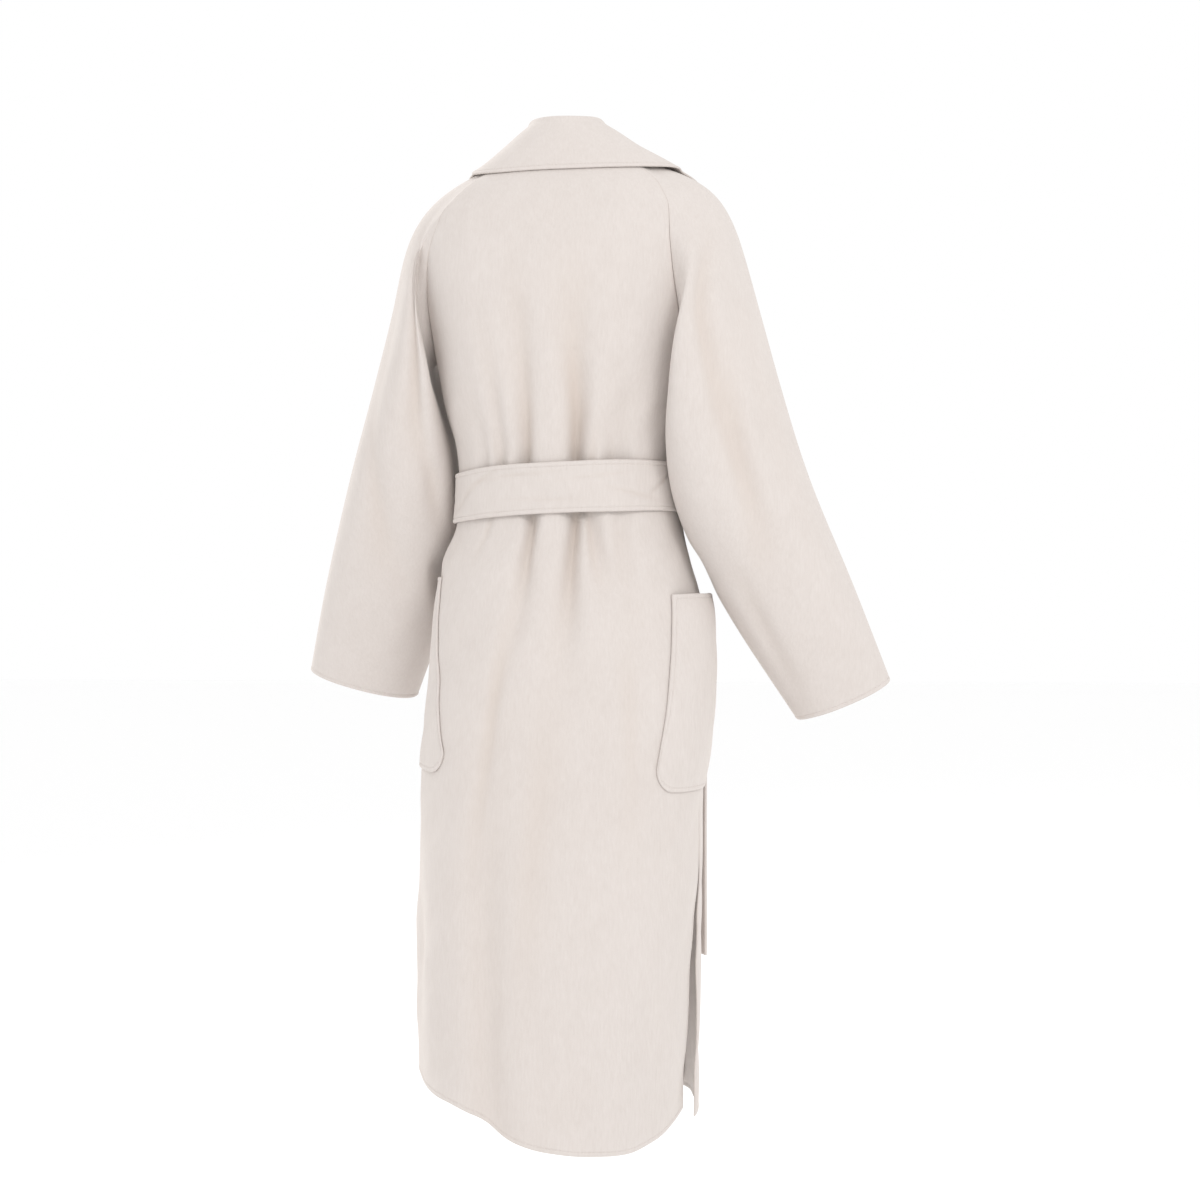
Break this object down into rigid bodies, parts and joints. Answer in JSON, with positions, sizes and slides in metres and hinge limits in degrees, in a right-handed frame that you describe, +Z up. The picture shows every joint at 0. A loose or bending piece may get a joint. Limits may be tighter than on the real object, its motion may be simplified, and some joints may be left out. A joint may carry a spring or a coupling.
{
  "type": "wrap coat",
  "caption": "Long double-faced wool wrap coat with a wide turned-down collar, raglan sleeves, patch pockets over the side seams, a side slit and a tied belt of its own cloth.",
  "frame": {"origin": "at the back of the neck, on the coat's middle line at the height of the collar seam, where the wearer's neck and shoulders carry the coat", "axes": "+Z is up, the fronts face -Y, and the wearer's left is +X"},
  "size_m": [0.774, 0.3575, 1.2639],
  "materials": {
    "wool_body": "matt cream double-faced wool",
    "wool_sleeves": "matt cream double-faced wool",
    "wool_collar": "matt cream double-faced wool",
    "wool_pockets": "matt cream double-faced wool",
    "wool_belt": "matt cream double-faced wool"
  },
  "bodies": {
    "root": {"back": "wool_body", "front_left": "wool_body", "front_right": "wool_body", "sleeve_left": "wool_sleeves", "sleeve_right": "wool_sleeves", "collar": "wool_collar", "pocket_left": "wool_pockets", "pocket_right": "wool_pockets", "belt_band": "wool_belt", "belt_knot": "wool_belt", "belt_end_long": "wool_belt", "belt_end_short": "wool_belt"}
  },
  "joints": []
}
